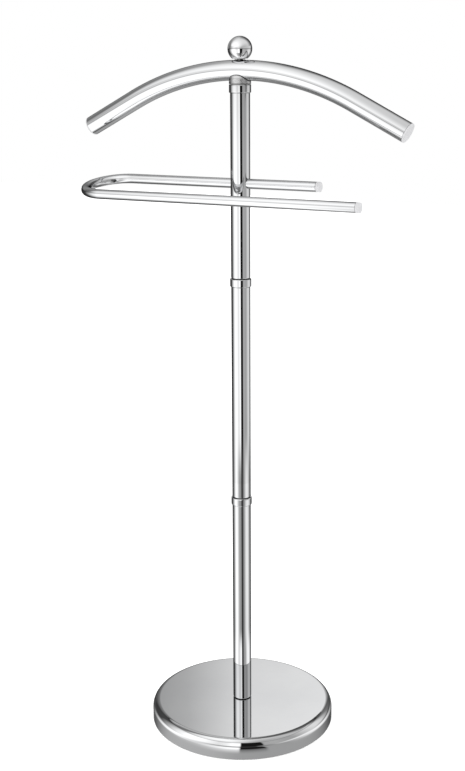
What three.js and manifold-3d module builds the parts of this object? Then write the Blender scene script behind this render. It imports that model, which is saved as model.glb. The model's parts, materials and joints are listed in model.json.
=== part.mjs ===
// Chromed valet stand: weighted round base, three-section post, hairpin trouser rail,
// curved coat hanger bar on a saddle, and a ball finial that clamps the bar.
// Millimetres, +Z up. The origin is the centre of the underside, the hanger bar runs
// along X, and the front leg of the trouser rail is on the -Y side.
import * as THREE from 'three';
import { mergeVertices } from 'three/addons/utils/BufferGeometryUtils.js';
import Module from 'manifold-3d';

const wasm = await Module();
wasm.setup();

// ---- Driving dimensions ----------------------------------------------------

const gap = 0.3; // between pieces that fit into each other
const seam = 0.2; // between pieces that are stacked on each other

const base = {
  radius: 140,
  height: 31,
  shoulderWidth: 11.3, // the rounded shoulder is a quarter ellipse
  shoulderHeight: 13.3,
  sheet: 1.5,
  rimLift: 1, // the cover's edge hangs just clear of the floor
};
const pad = { radius: 131, thickness: 3, holeRadius: 24 };
const weight = { radius: 132, thickness: 11, hubRadius: 34, recessRadius: 17, recessTop: 14 };
const baseBolt = { radius: 5, headWidth: 17, headHeight: 6.4, washerRadius: 14, washerThickness: 2 };

const post = {
  radius: 14,
  wall: 1.2,
  lowerLength: 318.5,
  middleLength: 320,
  upperLength: 261,
  footGap: 1, // each tube's foot stops short of what its insert stands on
};
const ring = { radius: 15.5, height: 12, edge: 0.9 };
const insert = { length: 20 }; // threaded plug in each tube end
const jointStud = { radius: 5, length: 46 };

const rail = {
  radius: 7,
  wall: 1.2,
  height: 829.4, // of the back leg, which passes through the post
  bendRadius: 45,
  bendX: -180, // where the legs run into the bend
  backEnd: 125,
  frontEnd: 222,
  droop: THREE.MathUtils.degToRad(9.4), // the front leg hangs a little lower
  capLength: 6,
  plugLength: 10,
};
const clampBush = { height: 30, screwRadius: 2.5, screwLength: 5.5 };

const hanger = {
  radius: 14,
  wall: 1.2,
  arcRadius: 381,
  arcHalfAngle: THREE.MathUtils.degToRad(27),
  straight: 87, // straight end beyond the arc
  axisAboveCollar: 19, // centre line at the middle, above the collar ring
  capThickness: 2,
  plugLength: 12,
};
const saddle = { shoulderDrop: 12, topDrop: 6.5, topRadius: 12.6 };
const finial = {
  radius: 17.25,
  studRadius: 4,
  washerRadius: 7.5,
  washerThickness: 1,
  boreDepth: 13,
};

// ---- Heights up the post ---------------------------------------------------

const lowerRingFoot = base.height + post.lowerLength;
const middlePostFoot = lowerRingFoot + ring.height;
const upperRingFoot = middlePostFoot + post.middleLength;
const upperPostFoot = upperRingFoot + ring.height;
const collarFoot = upperPostFoot + post.upperLength;
const collarTop = collarFoot + ring.height;
const hangerHeight = collarTop + hanger.axisAboveCollar;
const washerFoot = hangerHeight + hanger.radius + seam;
const ballFoot = washerFoot + finial.washerThickness + seam;

// ---- Materials -------------------------------------------------------------

function finish(color, roughness, metalness) {
  return () => new THREE.MeshStandardMaterial({ color, roughness, metalness });
}

const chrome = finish(0xd5d8da, 0.05, 1);
const satinZinc = finish(0xb9bbbc, 0.4, 1);
const zincSteel = finish(0x9ea1a3, 0.35, 1);
const castIron = finish(0x35363a, 0.8, 0.6);
const foam = finish(0x151517, 0.95, 0);
const nylon = finish(0x1b1b1d, 0.5, 0);
const greyPlastic = finish(0xbfc1c2, 0.35, 0);
const blackSteel = finish(0x222326, 0.45, 1);

// ---- Solids ----------------------------------------------------------------

// Shared vertices merged and triangles without area dropped.
function weld(geometry) {
  const bare = geometry.clone();
  bare.deleteAttribute('normal');
  bare.deleteAttribute('uv');
  const merged = mergeVertices(bare, 1e-4);
  const corners = merged.index.array;
  const kept = [];
  for (let i = 0; i < corners.length; i += 3) {
    const [a, b, c] = corners.subarray(i, i + 3);
    if (a !== b && b !== c && c !== a) kept.push(a, b, c);
  }
  merged.setIndex(kept);
  return merged;
}

function solidOf(geometry) {
  const welded = weld(geometry);
  return new wasm.Manifold(new wasm.Mesh({
    numProp: 3,
    vertProperties: new Float32Array(welded.getAttribute('position').array),
    triVerts: new Uint32Array(welded.index.array),
  }));
}

function geometryOf(solid) {
  const { vertProperties, triVerts } = solid.getMesh();
  const geometry = new THREE.BufferGeometry();
  geometry.setAttribute('position', new THREE.BufferAttribute(vertProperties, 3));
  geometry.setIndex(new THREE.BufferAttribute(triVerts, 1));
  return geometry;
}

function cut(geometry, ...tools) {
  const solids = tools.map(solidOf);
  return geometryOf(solids.reduce((body, tool) => body.subtract(tool), solidOf(geometry)));
}

function join(geometry, other) {
  return geometryOf(solidOf(geometry).add(solidOf(other)));
}

// A profile of [radius, height] points, listed with the material on its left, turned about Z.
function turned(profile, sides) {
  const points = profile.map(([radius, height]) => new THREE.Vector2(radius, height));
  return weld(new THREE.LatheGeometry(points, sides).rotateX(Math.PI / 2));
}

// A disc, rod or washer between two heights, with a round hole through it.
function bored(radius, holeRadius, low, high, sides) {
  return turned([
    [holeRadius, low],
    [radius, low],
    [radius, high],
    [holeRadius, high],
    [holeRadius, low],
  ], sides);
}

function rod(radius, low, high, sides) {
  return turned([[0, low], [radius, low], [radius, high], [0, high]], sides);
}

function polygon(cornerRadius, sides) {
  return Array.from({ length: sides }, (_, i) => {
    const angle = (2 * Math.PI * i) / sides;
    return new THREE.Vector2(cornerRadius * Math.cos(angle), cornerRadius * Math.sin(angle));
  });
}

// A round tube swept along a path; without a bore it is a solid bar.
// The bore's sides touch its circle from outside, so that a round plug fits in it.
function swept(path, steps, radius, sides, boreRadius = 0, boreSides = 10) {
  const section = new THREE.Shape(polygon(radius, sides));
  if (boreRadius > 0) {
    const cornerRadius = boreRadius / Math.cos(Math.PI / boreSides);
    section.holes.push(new THREE.Path(polygon(cornerRadius, boreSides)));
  }
  return weld(new THREE.ExtrudeGeometry(section, { steps, extrudePath: path }));
}

// A bar along X through a height on the post.
function crossBar(radius, from, to, height, sides) {
  return rod(radius, from, to, sides).rotateY(Math.PI / 2).translate(0, 0, height);
}

const model = new THREE.Group();

function piece(name, geometry, material, parent = model) {
  const mesh = new THREE.Mesh(geometry, material());
  mesh.name = name;
  parent.add(mesh);
  return mesh;
}

// ---- Base ------------------------------------------------------------------

// Points of the shoulder's quarter ellipse from the wall up to the flat top, drawn in by an inset.
function shoulder(inset, steps) {
  const centreRadius = base.radius - base.shoulderWidth;
  const centreHeight = base.height - base.shoulderHeight;
  return Array.from({ length: steps + 1 }, (_, i) => {
    const angle = (i / steps) * (Math.PI / 2);
    return [
      centreRadius + (base.shoulderWidth - inset) * Math.cos(angle),
      centreHeight + (base.shoulderHeight - inset) * Math.sin(angle),
    ];
  });
}

function baseCover() {
  const holeRadius = baseBolt.radius + gap;
  const outside = shoulder(0, 5);
  const inside = shoulder(base.sheet, 3).reverse();
  return turned([
    [base.radius - base.sheet, base.rimLift],
    [base.radius, base.rimLift],
    ...outside,
    [holeRadius, base.height],
    [holeRadius, base.height - base.sheet],
    ...inside,
    [base.radius - base.sheet, base.rimLift],
  ], 56);
}

// A cast disc with a hub that carries the cover, recessed below for the bolt's head.
function baseWeight() {
  const foot = pad.thickness + seam;
  const discTop = foot + weight.thickness;
  const hubTop = base.height - base.sheet - seam;
  const holeRadius = baseBolt.radius + gap;
  return turned([
    [weight.recessRadius, foot],
    [weight.radius, foot],
    [weight.radius, discTop],
    [weight.hubRadius, discTop],
    [weight.hubRadius, hubTop],
    [holeRadius, hubTop],
    [holeRadius, weight.recessTop],
    [weight.recessRadius, weight.recessTop],
    [weight.recessRadius, foot],
  ], 40);
}

const boltWasherTop = weight.recessTop - seam;
const boltWasherFoot = boltWasherTop - baseBolt.washerThickness;

function hexBolt() {
  const headTop = boltWasherFoot - seam;
  const cornerRadius = baseBolt.headWidth / 2 / Math.cos(Math.PI / 6);
  const head = rod(cornerRadius, headTop - baseBolt.headHeight, headTop, 6);
  const shank = rod(baseBolt.radius, headTop - 1, base.height + insert.length - 2, 16);
  return join(head, shank);
}

piece('base_cover', baseCover(), chrome);
piece('base_weight', baseWeight(), castIron);
piece('base_pad', bored(pad.radius, pad.holeRadius, 0, pad.thickness, 40), foam);
piece('base_bolt', hexBolt(), zincSteel);
piece(
  'base_bolt_washer',
  bored(baseBolt.washerRadius, baseBolt.radius + gap, boltWasherFoot, boltWasherTop, 20),
  zincSteel,
);

// ---- Post ------------------------------------------------------------------

function postTube(foot, top) {
  return bored(post.radius, post.radius - post.wall, foot + post.footGap, top, 32);
}

function threadedPlug(low, high, boltRadius) {
  return bored(post.radius - post.wall - seam, boltRadius + gap, low, high, 16);
}

// A turned ring with eased edges, a little wider than the tubes it stands between.
function turnedRing(foot, boltRadius) {
  const low = foot + seam;
  const high = foot + ring.height - seam;
  const hole = boltRadius + gap;
  return turned([
    [hole, low],
    [ring.radius - ring.edge, low],
    [ring.radius, low + ring.edge],
    [ring.radius, high - ring.edge],
    [ring.radius - ring.edge, high],
    [hole, high],
    [hole, low],
  ], 32);
}

function jointStudAt(ringFoot) {
  const middle = ringFoot + ring.height / 2;
  const half = jointStud.length / 2;
  return rod(jointStud.radius, middle - half, middle + half, 16);
}

// The upper post is drilled across for the trouser rail, and tapped behind for its grub screw.
function upperPostTube() {
  const screwHole = rod(clampBush.screwRadius + gap, 0, 2 * post.radius, 12)
    .rotateX(-Math.PI / 2)
    .translate(0, 0, rail.height);
  const railBore = crossBar(rail.radius + gap, -2 * post.radius, 2 * post.radius, rail.height, 24);
  return cut(postTube(upperPostFoot, collarFoot), railBore, screwHole);
}

const sections = [
  { name: 'lower', foot: base.height + seam, top: lowerRingFoot, foots: baseBolt.radius, heads: jointStud.radius },
  { name: 'middle', foot: middlePostFoot, top: upperRingFoot, foots: jointStud.radius, heads: jointStud.radius },
  { name: 'upper', foot: upperPostFoot, top: collarFoot, foots: jointStud.radius, heads: finial.studRadius },
];
for (const { name, foot, top, foots, heads } of sections) {
  const tube = name === 'upper' ? upperPostTube() : postTube(foot, top);
  piece(`${name}_post`, tube, chrome);
  piece(`${name}_post_foot_insert`, threadedPlug(foot, foot + insert.length, foots), zincSteel);
  piece(`${name}_post_head_insert`, threadedPlug(top - insert.length, top, heads), zincSteel);
}
piece('lower_joint_ring', turnedRing(lowerRingFoot, jointStud.radius), chrome);
piece('lower_joint_stud', jointStudAt(lowerRingFoot), zincSteel);
piece('upper_joint_ring', turnedRing(upperRingFoot, jointStud.radius), chrome);
piece('upper_joint_stud', jointStudAt(upperRingFoot), zincSteel);
piece('collar_ring', turnedRing(collarFoot, finial.studRadius), chrome);

// ---- Trouser rail ----------------------------------------------------------

// The hairpin in its own plane: the front leg from its right end, the bend, then the back leg.
class HairpinPath extends THREE.Curve {
  getPoint(t, target = new THREE.Vector3()) {
    const front = rail.frontEnd - rail.capLength - rail.bendX;
    const bend = Math.PI * rail.bendRadius;
    const back = rail.backEnd - rail.capLength - rail.bendX;
    const along = t * (front + bend + back);
    if (along < front) {
      return target.set(rail.bendX + front - along, -2 * rail.bendRadius, 0);
    }
    if (along > front + bend) {
      return target.set(rail.bendX + along - front - bend, 0, 0);
    }
    const angle = (along - front) / rail.bendRadius;
    return target.set(
      rail.bendX - rail.bendRadius * Math.sin(angle),
      -rail.bendRadius * (1 + Math.cos(angle)),
      0,
    );
  }
}

// A turned cap on local Z: a face as wide as its tube and a plug that fits inside it.
function tubeCap(radius, wall, faceThickness, plugLength, sides) {
  const plugRadius = radius - wall - gap;
  const ease = faceThickness / 5;
  return turned([
    [0, -plugLength],
    [plugRadius, -plugLength],
    [plugRadius, gap],
    [radius, gap],
    [radius, faceThickness - ease],
    [radius - ease, faceThickness],
    [0, faceThickness],
  ], sides);
}

// A moulded bush inside the post grips the rail; the grub screw behind it sets the grip.
function railClampBush() {
  const outer = post.radius - post.wall - seam;
  const low = rail.height - clampBush.height / 2;
  const body = rod(outer, low, low + clampBush.height, 24);
  const railBore = crossBar(rail.radius + gap, -2 * post.radius, 2 * post.radius, rail.height, 24);
  const screwHole = rod(clampBush.screwRadius + gap, 0, 2 * post.radius, 12)
    .rotateX(-Math.PI / 2)
    .translate(0, 0, rail.height);
  return cut(body, railBore, screwHole);
}

function railClampScrew() {
  const inner = rail.radius + gap;
  const socket = rod(1.4, clampBush.screwLength - 2, clampBush.screwLength + 1, 6);
  return cut(rod(clampBush.screwRadius, 0, clampBush.screwLength, 12), socket)
    .rotateX(-Math.PI / 2)
    .translate(0, inner, rail.height);
}

const railTurn = new THREE.Group();
railTurn.position.z = rail.height;
railTurn.rotation.x = rail.droop;
model.add(railTurn);

piece('trouser_rail', swept(new HairpinPath(), 50, rail.radius, 14, rail.radius - rail.wall, 8), chrome, railTurn);
const railCap = () => tubeCap(rail.radius, rail.wall, rail.capLength, rail.plugLength, 14);
const backCap = piece('rail_cap_back', railCap(), greyPlastic, railTurn);
backCap.position.set(rail.backEnd - rail.capLength, 0, 0);
backCap.rotation.y = Math.PI / 2;
const frontCap = piece('rail_cap_front', railCap(), greyPlastic, railTurn);
frontCap.position.set(rail.frontEnd - rail.capLength, -2 * rail.bendRadius, 0);
frontCap.rotation.y = Math.PI / 2;
piece('rail_clamp_bush', railClampBush(), nylon);
piece('rail_clamp_screw', railClampScrew(), blackSteel);

// ---- Hanger bar ------------------------------------------------------------

const hangerHalfLength = hanger.arcRadius * hanger.arcHalfAngle + hanger.straight - hanger.capThickness;

// Where the centre line is at a distance along it from the middle, relative to the middle.
function hangerPoint(along, target = new THREE.Vector3()) {
  const limit = hanger.arcHalfAngle;
  const angle = THREE.MathUtils.clamp(along / hanger.arcRadius, -limit, limit);
  const straight = along - angle * hanger.arcRadius;
  return target.set(
    hanger.arcRadius * Math.sin(angle) + straight * Math.cos(angle),
    0,
    hanger.arcRadius * (Math.cos(angle) - 1) - straight * Math.sin(angle),
  );
}

class HangerPath extends THREE.Curve {
  getPoint(t, target = new THREE.Vector3()) {
    return hangerPoint((2 * t - 1) * hangerHalfLength, target);
  }
}

function hangerTube() {
  const studHole = rod(finial.studRadius + gap, -2 * hanger.radius, 2 * hanger.radius, 12);
  return cut(swept(new HangerPath(), 30, hanger.radius, 20, hanger.radius - hanger.wall, 10), studHole);
}

// A short turned column whose shoulder runs up both sides of the bar that lies in it.
function hangerSaddle() {
  const foot = collarTop + seam;
  const shoulderFoot = hangerHeight - saddle.shoulderDrop;
  const top = hangerHeight - saddle.topDrop;
  const hole = finial.studRadius + gap;
  const rise = top - shoulderFoot;
  const inward = ring.radius - saddle.topRadius;
  const curve = Array.from({ length: 4 }, (_, i) => {
    const angle = ((i + 1) / 4) * (Math.PI / 2);
    return [
      ring.radius - inward * (1 - Math.cos(angle)),
      shoulderFoot + rise * Math.sin(angle),
    ];
  });
  const column = turned([
    [hole, foot],
    [ring.radius, foot],
    [ring.radius, shoulderFoot],
    ...curve,
    [hole, top],
    [hole, foot],
  ], 32);
  const seat = swept(new HangerPath(), 60, hanger.radius + gap, 32).translate(0, 0, hangerHeight);
  return cut(column, seat);
}

piece('hanger_bar', hangerTube(), chrome).position.z = hangerHeight;
piece('hanger_saddle', hangerSaddle(), satinZinc);

for (const [name, side] of [['hanger_cap_left', -1], ['hanger_cap_right', 1]]) {
  const cap = tubeCap(hanger.radius, hanger.wall, hanger.capThickness, hanger.plugLength, 20);
  const mesh = piece(name, cap, greyPlastic);
  hangerPoint(side * hangerHalfLength, mesh.position);
  mesh.position.z += hangerHeight;
  mesh.rotation.y = side * (Math.PI / 2 + hanger.arcHalfAngle);
}

// ---- Finial ----------------------------------------------------------------

// The ball is flattened where it bears on its washer, and bored for the stud.
function finialBall() {
  const flatRadius = 11;
  const centre = ballFoot + Math.sqrt(finial.radius ** 2 - flatRadius ** 2);
  const start = -Math.acos(flatRadius / finial.radius);
  const steps = 12;
  const outline = Array.from({ length: steps + 1 }, (_, i) => {
    const angle = start + (i / steps) * (Math.PI / 2 - start);
    return [i === steps ? 0 : finial.radius * Math.cos(angle), centre + finial.radius * Math.sin(angle)];
  });
  const bore = finial.studRadius + gap;
  return turned([
    [0, ballFoot + finial.boreDepth],
    [bore, ballFoot + finial.boreDepth],
    [bore, ballFoot],
    ...outline,
  ], 28);
}

piece('finial_stud', rod(finial.studRadius, collarFoot - insert.length + 2, ballFoot + finial.boreDepth - 2, 12), zincSteel);
piece(
  'finial_washer',
  bored(finial.washerRadius, finial.studRadius + gap, washerFoot, washerFoot + finial.washerThickness, 20),
  nylon,
);
piece('finial_ball', finialBall(), chrome);

export default model;
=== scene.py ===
import json
import math
import bmesh
import bpy
from mathutils import Matrix, Vector


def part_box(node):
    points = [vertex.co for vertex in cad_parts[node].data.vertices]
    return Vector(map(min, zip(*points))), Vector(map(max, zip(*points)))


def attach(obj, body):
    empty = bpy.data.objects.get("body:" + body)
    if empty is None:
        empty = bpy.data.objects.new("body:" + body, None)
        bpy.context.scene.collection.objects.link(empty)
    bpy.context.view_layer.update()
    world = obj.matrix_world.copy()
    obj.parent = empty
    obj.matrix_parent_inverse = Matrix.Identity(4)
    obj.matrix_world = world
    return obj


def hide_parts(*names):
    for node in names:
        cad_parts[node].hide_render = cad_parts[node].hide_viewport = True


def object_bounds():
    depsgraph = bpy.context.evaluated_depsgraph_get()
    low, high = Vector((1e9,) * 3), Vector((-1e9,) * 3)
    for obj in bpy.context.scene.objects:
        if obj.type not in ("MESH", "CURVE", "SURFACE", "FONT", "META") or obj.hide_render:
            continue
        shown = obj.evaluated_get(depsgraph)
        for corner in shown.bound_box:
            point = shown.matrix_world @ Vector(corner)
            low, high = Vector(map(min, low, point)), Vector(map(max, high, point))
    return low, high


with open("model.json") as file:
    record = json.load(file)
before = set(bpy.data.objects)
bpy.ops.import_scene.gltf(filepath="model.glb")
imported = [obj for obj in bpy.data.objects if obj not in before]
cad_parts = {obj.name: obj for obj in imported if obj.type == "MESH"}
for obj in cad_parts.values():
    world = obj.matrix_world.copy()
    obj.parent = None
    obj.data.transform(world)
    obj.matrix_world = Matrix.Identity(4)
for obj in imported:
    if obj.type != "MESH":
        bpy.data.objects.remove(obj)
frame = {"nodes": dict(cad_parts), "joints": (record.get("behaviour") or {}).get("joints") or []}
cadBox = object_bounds()
millimetre = 0.001
print("stage: frame loaded")


viewpoint = {
    "azimuth": 28.08,  # degrees round from the front
    "distance": 1.8317,
    "height": 1.001,
    "pitch": 14.31,  # downwards
    "yaw": 0.40,
    "roll": -0.32,
    "lens": 59.85,
}


def makeCamera(view):
    around = math.radians(view["azimuth"])
    heading = around + math.radians(view["yaw"])
    pitch = math.radians(view["pitch"])
    forward = Vector((
        -math.sin(heading) * math.cos(pitch),
        math.cos(heading) * math.cos(pitch),
        -math.sin(pitch),
    ))
    right = forward.cross(Vector((0, 0, 1))).normalized()
    up = right.cross(forward)
    turn = Matrix((right, up, -forward)).transposed().to_4x4()
    roll = Matrix.Rotation(math.radians(view["roll"]), 4, "Z")
    data = bpy.data.cameras.new("standCamera")
    data.lens = view["lens"]
    camera = bpy.data.objects.new("standCamera", data)
    bpy.context.scene.collection.objects.link(camera)
    place = Matrix.Translation((
        view["distance"] * math.sin(around),
        -view["distance"] * math.cos(around),
        view["height"],
    ))
    camera.matrix_world = place @ turn @ roll
    bpy.context.scene.camera = camera


makeCamera(viewpoint)
bpy.context.scene.view_settings.view_transform = "Standard"
print("stage: camera placed")


def addNode(tree, kind, **settings):
    node = tree.nodes.new(kind)
    for key, value in settings.items():
        setattr(node, key, value)
    return node


def plug(tree, source, target):
    tree.links.new(source, target)


def mathNode(tree, operation, first, second=None):
    node = addNode(tree, "ShaderNodeMath", operation=operation)
    for socket, value in zip(node.inputs, (first, second)):
        if value is None:
            continue
        if isinstance(value, (int, float)):
            socket.default_value = value
        else:
            plug(tree, value, socket)
    return node.outputs[0]


def rampNode(tree, factor, stops, interpolation="LINEAR"):
    ramp = addNode(tree, "ShaderNodeValToRGB")
    ramp.color_ramp.interpolation = interpolation
    elements = ramp.color_ramp.elements
    while len(elements) > 1:
        elements.remove(elements[-1])
    for index, (position, level) in enumerate(stops):
        element = elements[0] if index == 0 else elements.new(position)
        element.position = position
        color = level if isinstance(level, tuple) else (level, level, level)
        element.color = (*color, 1)
    plug(tree, factor, ramp.inputs["Fac"])
    return ramp.outputs["Color"]


def newGroup(name, inputs, outputs):
    tree = bpy.data.node_groups.new(name, "ShaderNodeTree")
    for label, kind, default in inputs:
        socket = tree.interface.new_socket(label, in_out="INPUT", socket_type=kind)
        if default is not None:
            socket.default_value = default
    for label, kind in outputs:
        tree.interface.new_socket(label, in_out="OUTPUT", socket_type=kind)
    return tree, addNode(tree, "NodeGroupInput"), addNode(tree, "NodeGroupOutput")


# A round tent of boards with a ceiling and one soft lamp, which only the gloss sees, on a pale
# floor under an even white sky.
studio = {
    "tentRadius": 1.15,
    "tentTop": 1.3,
    "floorSize": 14,
    "floorFade": (0.156, 0.180),
    "farFade": (0.24, 0.34),
    "footFade": (0.0, 0.14),
    "middleSpread": 0.30,
    "floorPaint": 0.93,
    "floorLift": 0.35,  # the floor is lit from below as well, so that its shadow stays faint
    "skylight": 1.2,
    "lampStrength": 1.05,
    "keyPower": 9,
    "keySize": 1.2,
    "keyPlace": (-1.6, -1.5, 2.4),
    "fillPower": 4,
    "fillPlace": (1.9, -0.9, 1.7),
}
# The levels below are measured readings, smoothed and listed. They are a fit, and not a plain light.
# Brightness round the tent, in degrees from the camera's own direction, to its right.
boardBands = [
    (-180, 0.98), (-173, 0.60), (-163, 0.30), (-150, 0.20), (-138, 0.06), (-114, 0.07),
    (-107, 0.24), (-98, 0.50), (-84, 1.02), (-70, 1.34), (-52, 1.37), (-40, 1.16),
    (-28, 0.95), (-19, 1.08), (-12, 1.32), (-3, 1.32), (-1.5, 0.01), (22.5, 0.01),
    (24.5, 0.46), (38, 0.48), (50, 0.44), (62, 0.42), (72, 0.55), (82, 0.70), (96, 0.88),
    (108, 0.84), (118, 0.55), (128, 0.24), (144, 0.14), (152, 0.52), (164, 1.12), (180, 0.98),
]
upperBands = [
    (-180, 0.50), (-165, 0.60), (-150, 0.60), (-132, 0.42), (-115, 0.14), (-102, 0.20),
    (-85, 0.55), (-70, 0.85), (-55, 1.0), (-45, 0.88), (-30, 0.76), (-15, 0.85), (0, 0.60),
    (15, 0.42), (30, 0.50), (60, 0.55), (90, 0.64), (110, 0.76), (122, 0.50), (132, 0.12),
    (165, 0.08), (173, 0.22), (180, 0.50),
]
# Height of the seam between them, in metres: it drops behind, to the camera's right.
seamHeights = [(-180, 1.0), (118, 1.0), (130, 0.80), (166, 0.80), (176, 0.95), (180, 1.0)]
# The floor at the base's foot, just round it, then further out.
rimBands = [
    (-180, 0.36), (-110, 0.44), (-60, 0.56), (-20, 0.50), (0, 0.40), (60, 0.40), (180, 0.36),
]
nearFloorBands = [
    (-180, 0.98), (-168, 0.72), (-157, 0.44), (-148, 0.22), (-138, 0.07), (-122, 0.08),
    (-112, 0.24), (-102, 0.48), (-92, 0.85), (-82, 1.2), (-67, 1.37), (-55, 1.22),
    (-45, 0.92), (-37, 0.82), (-27, 0.95), (-12, 1.25), (-3, 1.30), (-1.5, 0.01), (17, 0.01),
    (19, 0.40), (37, 0.38), (47, 0.55), (58, 0.88), (68, 1.10), (82, 1.25), (95, 1.1),
    (107, 0.75), (120, 0.42), (135, 0.17), (147, 0.17), (160, 0.48), (180, 0.98),
]
floorBands = [
    (-180, 0.55), (-165, 0.42), (-150, 0.30), (-135, 0.14), (-118, 0.08), (-105, 0.30),
    (-90, 0.75), (-75, 1.3), (-58, 1.35), (-45, 0.95), (-32, 0.50), (-19, 0.38), (-5, 0.34),
    (-1.5, 0.04), (14, 0.04), (18, 0.22), (30, 0.32), (42, 0.66), (58, 1.0), (75, 1.05),
    (92, 0.74), (107, 0.36), (125, 0.12), (145, 0.12), (165, 0.40), (180, 0.55),
]
# Across the lamp in metres: to the camera's right, then away from it.
lampAcross = [
    (-1.15, 0.58), (-0.85, 0.86), (-0.55, 1.0), (-0.28, 0.97), (-0.10, 0.78), (0.05, 0.56),
    (0.20, 0.36), (0.35, 0.20), (0.60, 0.10), (1.15, 0.06),
]
lampAway = [
    (-1.15, 0.60), (-0.80, 0.82), (-0.45, 1.0), (-0.15, 0.97), (0.0, 0.78), (0.10, 0.42),
    (0.18, 0.12), (0.30, 0.0), (1.15, 0.0),
]
# The rest of the ceiling, by direction from its middle.
ceilingBands = [
    (-180, 0.50), (-165, 0.56), (-150, 0.55), (-135, 0.40), (-120, 0.22), (-100, 0.16),
    (-70, 0.22), (-30, 0.30), (0, 0.32), (30, 0.36), (60, 0.46), (85, 0.55), (102, 0.48),
    (118, 0.30), (132, 0.12), (162, 0.10), (173, 0.30), (180, 0.50),
]
ceilingMiddle = 0.27
# Share of the boards' light by height in metres: they darken towards the seam.
boardProfile = [
    (0.0, 0.92), (0.3, 1.0), (0.78, 1.0), (0.94, 0.84), (0.985, 0.26), (1.015, 0.55),
    (1.12, 1.0),
]


def turnedToCamera(tree, vector):
    # Turned so that X runs towards the camera and Y to its right.
    spin = addNode(tree, "ShaderNodeMapping", vector_type="POINT")
    spin.inputs["Rotation"].default_value = (0, 0, math.radians(90 - viewpoint["azimuth"]))
    plug(tree, vector, spin.inputs["Vector"])
    parts = addNode(tree, "ShaderNodeSeparateXYZ")
    plug(tree, spin.outputs["Vector"], parts.inputs["Vector"])
    return parts


def compass(tree, parts):
    angle = mathNode(tree, "ARCTAN2", parts.outputs["Y"], parts.outputs["X"])
    factor = mathNode(tree, "MULTIPLY_ADD", angle, 1 / (2 * math.pi))
    factor.node.inputs[2].default_value = 0.5
    return factor


def distanceOut(tree, parts):
    flat = addNode(tree, "ShaderNodeCombineXYZ")
    plug(tree, parts.outputs["X"], flat.inputs["X"])
    plug(tree, parts.outputs["Y"], flat.inputs["Y"])
    length = addNode(tree, "ShaderNodeVectorMath", operation="LENGTH")
    plug(tree, flat.outputs["Vector"], length.inputs[0])
    return length.outputs["Value"]


def compassRamp(tree, factor, bands):
    # The ends meet behind, and a ramp holds up to 32 stops.
    return rampNode(tree, factor, [((degrees + 180) / 360, level) for degrees, level in bands])


def spanRamp(tree, value, stops, sign=1):
    low, high = stops[0][0], stops[-1][0]
    scaled = mathNode(tree, "MULTIPLY_ADD", value, sign / (high - low))
    scaled.node.inputs[2].default_value = -low / (high - low)
    return rampNode(tree, scaled, [((place - low) / (high - low), level) for place, level in stops])


def mixColors(tree, blend, factor, first, second):
    node = addNode(tree, "ShaderNodeMix", data_type="RGBA", blend_type=blend)
    node.clamp_factor = True
    if isinstance(factor, (int, float)):
        node.inputs["Factor"].default_value = factor
    else:
        plug(tree, factor, node.inputs["Factor"])
    plug(tree, first, node.inputs[6])
    plug(tree, second, node.inputs[7])
    return node.outputs[2]


def fadeOver(tree, distance, limits):
    fade = addNode(tree, "ShaderNodeMapRange", interpolation_type="SMOOTHSTEP")
    fade.inputs["From Min"].default_value = limits[0]
    fade.inputs["From Max"].default_value = limits[1]
    plug(tree, distance, fade.inputs["Value"])
    return fade.outputs["Result"]


def makeWorld():
    world = bpy.data.worlds.new("softStudio")
    bpy.context.scene.world = world
    world.use_nodes = True
    tree = world.node_tree
    tree.nodes.clear()
    lighting = addNode(tree, "ShaderNodeBackground")
    lighting.inputs["Strength"].default_value = studio["skylight"]
    lighting.inputs["Color"].default_value = (1, 1, 1, 1)
    backdrop = addNode(tree, "ShaderNodeBackground")
    backdrop.inputs["Color"].default_value = (1, 1, 1, 1)
    path = addNode(tree, "ShaderNodeLightPath")
    seen = addNode(tree, "ShaderNodeMixShader")
    plug(tree, path.outputs["Is Camera Ray"], seen.inputs["Fac"])
    plug(tree, lighting.outputs[0], seen.inputs[1])
    plug(tree, backdrop.outputs[0], seen.inputs[2])
    output = addNode(tree, "ShaderNodeOutputWorld")
    plug(tree, seen.outputs[0], output.inputs["Surface"])


def stageObject(name, bm, material):
    mesh = bpy.data.meshes.new(name)
    bm.to_mesh(mesh)
    bm.free()
    mesh.materials.append(material)
    thing = bpy.data.objects.new(name, mesh)
    bpy.context.scene.collection.objects.link(thing)
    return thing


def emptyMaterial(name):
    material = bpy.data.materials.new(name)
    material.use_nodes = True
    tree = material.node_tree
    tree.nodes.clear()
    parts = turnedToCamera(tree, addNode(tree, "ShaderNodeTexCoord").outputs["Object"])
    output = addNode(tree, "ShaderNodeOutputMaterial")
    return material, tree, parts, output


def boardsMaterial():
    material, tree, parts, output = emptyMaterial("studioBoards")
    factor = compass(tree, parts)
    foot = compassRamp(tree, factor, floorBands)
    boards = compassRamp(tree, factor, boardBands)
    lower = mixColors(tree, "MIX", fadeOver(tree, parts.outputs["Z"], studio["footFade"]), foot, boards)
    upper = compassRamp(tree, factor, upperBands)
    seam = compassRamp(tree, factor, seamHeights)
    above = addNode(tree, "ShaderNodeMapRange")
    above.inputs["From Min"].default_value = -0.01
    above.inputs["From Max"].default_value = 0.01
    plug(tree, mathNode(tree, "SUBTRACT", parts.outputs["Z"], seam), above.inputs["Value"])
    joined = mixColors(tree, "MIX", above.outputs["Result"], lower, upper)
    profile = spanRamp(tree, parts.outputs["Z"], boardProfile)
    shaded = mixColors(tree, "MULTIPLY", 1, joined, profile)
    glow = addNode(tree, "ShaderNodeEmission")
    plug(tree, shaded, glow.inputs["Color"])
    plug(tree, glow.outputs[0], output.inputs["Surface"])
    return material


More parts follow.
